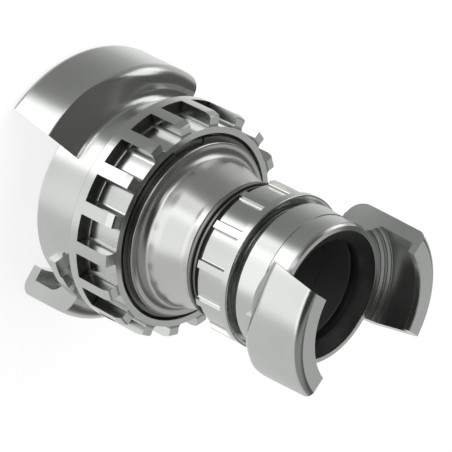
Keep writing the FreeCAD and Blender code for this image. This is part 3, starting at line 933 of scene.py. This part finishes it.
@dataclass(frozen=True)
class Studio:
    """Pale floor, soft lamp, and a room whose light and dark panels the metal shows.

    Only reflections see the furniture, laid one piece over the other: the camera sees white.
    """

    floor: Floor = Floor()
    lamps: tuple[Lamp, ...] = (
        Lamp("overhead_lamp", towards=(-0.45, -0.1, 1.0), distance=1.3, width=1.2, height=1.2, power=16.0),
    )
    target: tuple[float, float, float] = (0.0, 0.0, 0.11)
    room_light: float = 0.75
    walls: float = 0.68
    furniture: tuple[Panel | Card, ...] = (
        # dim corner in front on the left
        Panel(azimuth=215, half_width=50, low=-54, high=90, level=0.26, softness=40),
        # bright ground at the back, and a bright strip over it
        Panel(azimuth=100, half_width=25, low=-90, high=-38, level=1.0, softness=25, end_softness=4),
        Panel(azimuth=90, half_width=10, low=-42, high=-20, level=1.25, softness=8),
        # wide light in front on the right
        Panel(azimuth=292, half_width=27, low=-40, high=7, level=1.35, softness=8, end_softness=9),
        # dark ceiling all round, paler on the right and in a strip at the back
        Panel(azimuth=0, half_width=180, low=4, high=90, level=0.10, end_softness=14),
        Panel(azimuth=0, half_width=35, low=8, high=90, level=0.30, softness=20, end_softness=10),
        Panel(azimuth=85, half_width=12, low=8, high=90, level=0.52),
        # black board over the wide light
        Panel(azimuth=290, half_width=27, low=12, high=90, level=0.03, softness=12),
        # strong light in front, with a black board in its middle
        Panel(azimuth=250, half_width=15, low=-52, high=8, level=2.0, softness=7, end_softness=8),
        Card(azimuth=248, elevation=-17, radius=10, level=0.08, softness=6),
        # round lights on the left, one over the other
        Card(azimuth=163, elevation=2, radius=12, level=1.5),
        Card(azimuth=172, elevation=20, radius=15, level=1.3, softness=6),
        # small light high in front
        Card(azimuth=252, elevation=26, radius=7, level=1.6),
    )

    def build(self) -> None:
        """Makes the floor, the lamps and the world."""
        self.floor.build()
        for lamp in self.lamps:
            lamp.build(Vector(self.target))
        self.build_world()
        bpy.context.scene.view_settings.view_transform = "Standard"

    def build_world(self) -> None:
        """Makes a world that is white to the camera, even to the floor, and a room to the metal."""
        world = bpy.data.worlds.new("studio")
        bpy.context.scene.world = world
        world.use_nodes = True
        graph = Graph(world.node_tree)
        direction = graph.add("ShaderNodeTexCoord").outputs["Generated"]
        room = grey(self.walls)
        for piece in self.furniture:
            room = graph.blend(piece.mask(graph, direction), room, grey(piece.level))
        seen = graph.blend(graph.light_path("Is Glossy Ray"), grey(self.room_light), room)
        seen = graph.blend(graph.light_path("Is Camera Ray"), seen, grey(1.0))
        surface = graph.add("ShaderNodeBackground", {}, {"Color": seen, "Strength": 1.0})
        graph.add("ShaderNodeOutputWorld", {}, {"Surface": surface.outputs[0]})
        LOG.info("built %s", world.name)


@dataclass(frozen=True)
class PhotoCamera:
    """Camera at the photograph's viewing angle, in a square frame.

    Angles are in degrees, lengths in millimetres, and half_frame and focal in pixels of the
    photograph's frame. The camera aims beside a point on the waterway's axis.
    """

    tilt: float = 52.486
    roll: float = 26.537
    distance: float = 1378.0
    aim_height: float = 194.86
    shift_right: float = 54.46
    shift_down: float = 36.91
    half_frame: float = 226.0
    focal: float = 2600.0
    sensor: float = 36.0
    clip: tuple[float, float] = (0.05, 50.0)  # in metres

    def build(self) -> None:
        """Makes the camera and looks through it."""
        tilt = math.radians(self.tilt)
        roll = math.radians(self.roll)
        back = Vector((0.0, -math.sin(tilt), math.cos(tilt)))
        right = Vector((-math.sin(roll), math.cos(tilt) * math.cos(roll), math.sin(tilt) * math.cos(roll)))
        up = back.cross(right)
        place = Vector((0.0, 0.0, self.aim_height)) + back * self.distance
        place += up * self.shift_down - right * self.shift_right
        data = bpy.data.cameras.new("photo_camera")
        data.sensor_width = self.sensor
        data.lens = self.sensor / 2 * self.focal / self.half_frame
        data.clip_start, data.clip_end = self.clip
        camera = bpy.data.objects.new("photo_camera", data)
        turn = Matrix((right, up, back)).transposed().to_4x4()
        camera.matrix_world = Matrix.Translation(place * MM) @ turn
        bpy.context.scene.collection.objects.link(camera)
        bpy.context.scene.camera = camera
        LOG.info("built %s", camera.name)


WATERWAY = Waterway()

FINISHES = {
    Slot.CASTING: Metal(
        "cast_aluminium",
        # painted shade on the bore walls
        waterway=WATERWAY,
        thread=Thread(radius=38.0, low=131.5, high=164.0),
        # ledge grooves with painted shade
        ledges=Ledges(grooves=(41.2, 43.9, 46.3), rise=152.7),
        # painted shade on the small head's sleeve, between the body's bead and the lock ring
        shade_bands=(ShadeBand(low=131.0, high=139.5, share=0.42),),
    ),
    Slot.RING: Metal(
        "ring_aluminium",
        roughness=0.20,
        # painted shade at the foot of the pocket walls
        pocket_foot_shade=PocketFootShade(floor_r=59.2),
        # painted shade on the band-side wall of the pockets and the floor beside it
        shade_bands=(ShadeBand(low=69.8, high=71.3, share=0.22, outer_r=66.7, high_edge=0.9),),
    ),
    Slot.TURNED: Metal(
        "turned_aluminium",
        base=(0.68, 0.69, 0.66),
        roughness=0.26,
        # painted shade on the bore walls
        waterway=WATERWAY,
        # painted shade on the body's bead, next to the small head
        shade_bands=(ShadeBand(low=126.6, high=131.5, share=0.42, high_edge=0.1),),
    ),
    Slot.WIRE: Metal("spring_wire", base=(0.24, 0.24, 0.23), roughness=0.35),
    Slot.RUBBER: Rubber(),
}

LARGE_COUPLING = Coupling(
    head="large_head",
    lock_ring="large_lock_ring",
    stop_wire="large_stop_wire",
    mouth_seal="large_mouth_seal",
    retaining_wire="large_retaining_wire",
    round_seal="large_o_ring",
)
SMALL_COUPLING = Coupling(
    head="small_head",
    lock_ring="small_lock_ring",
    stop_wire="small_stop_wire",
    mouth_seal="small_mouth_seal",
    retaining_wire="small_retaining_wire",
    round_seal="small_o_ring",
)


def main() -> None:
    """Builds everything in order."""
    materials = {slot.value: finish.material() for slot, finish in FINISHES.items()}
    for part in (LARGE_COUPLING, BellBody(), SMALL_COUPLING):
        part.build(materials)
    Studio().build()
    PhotoCamera().build()


if __name__ == "__main__":
    main()
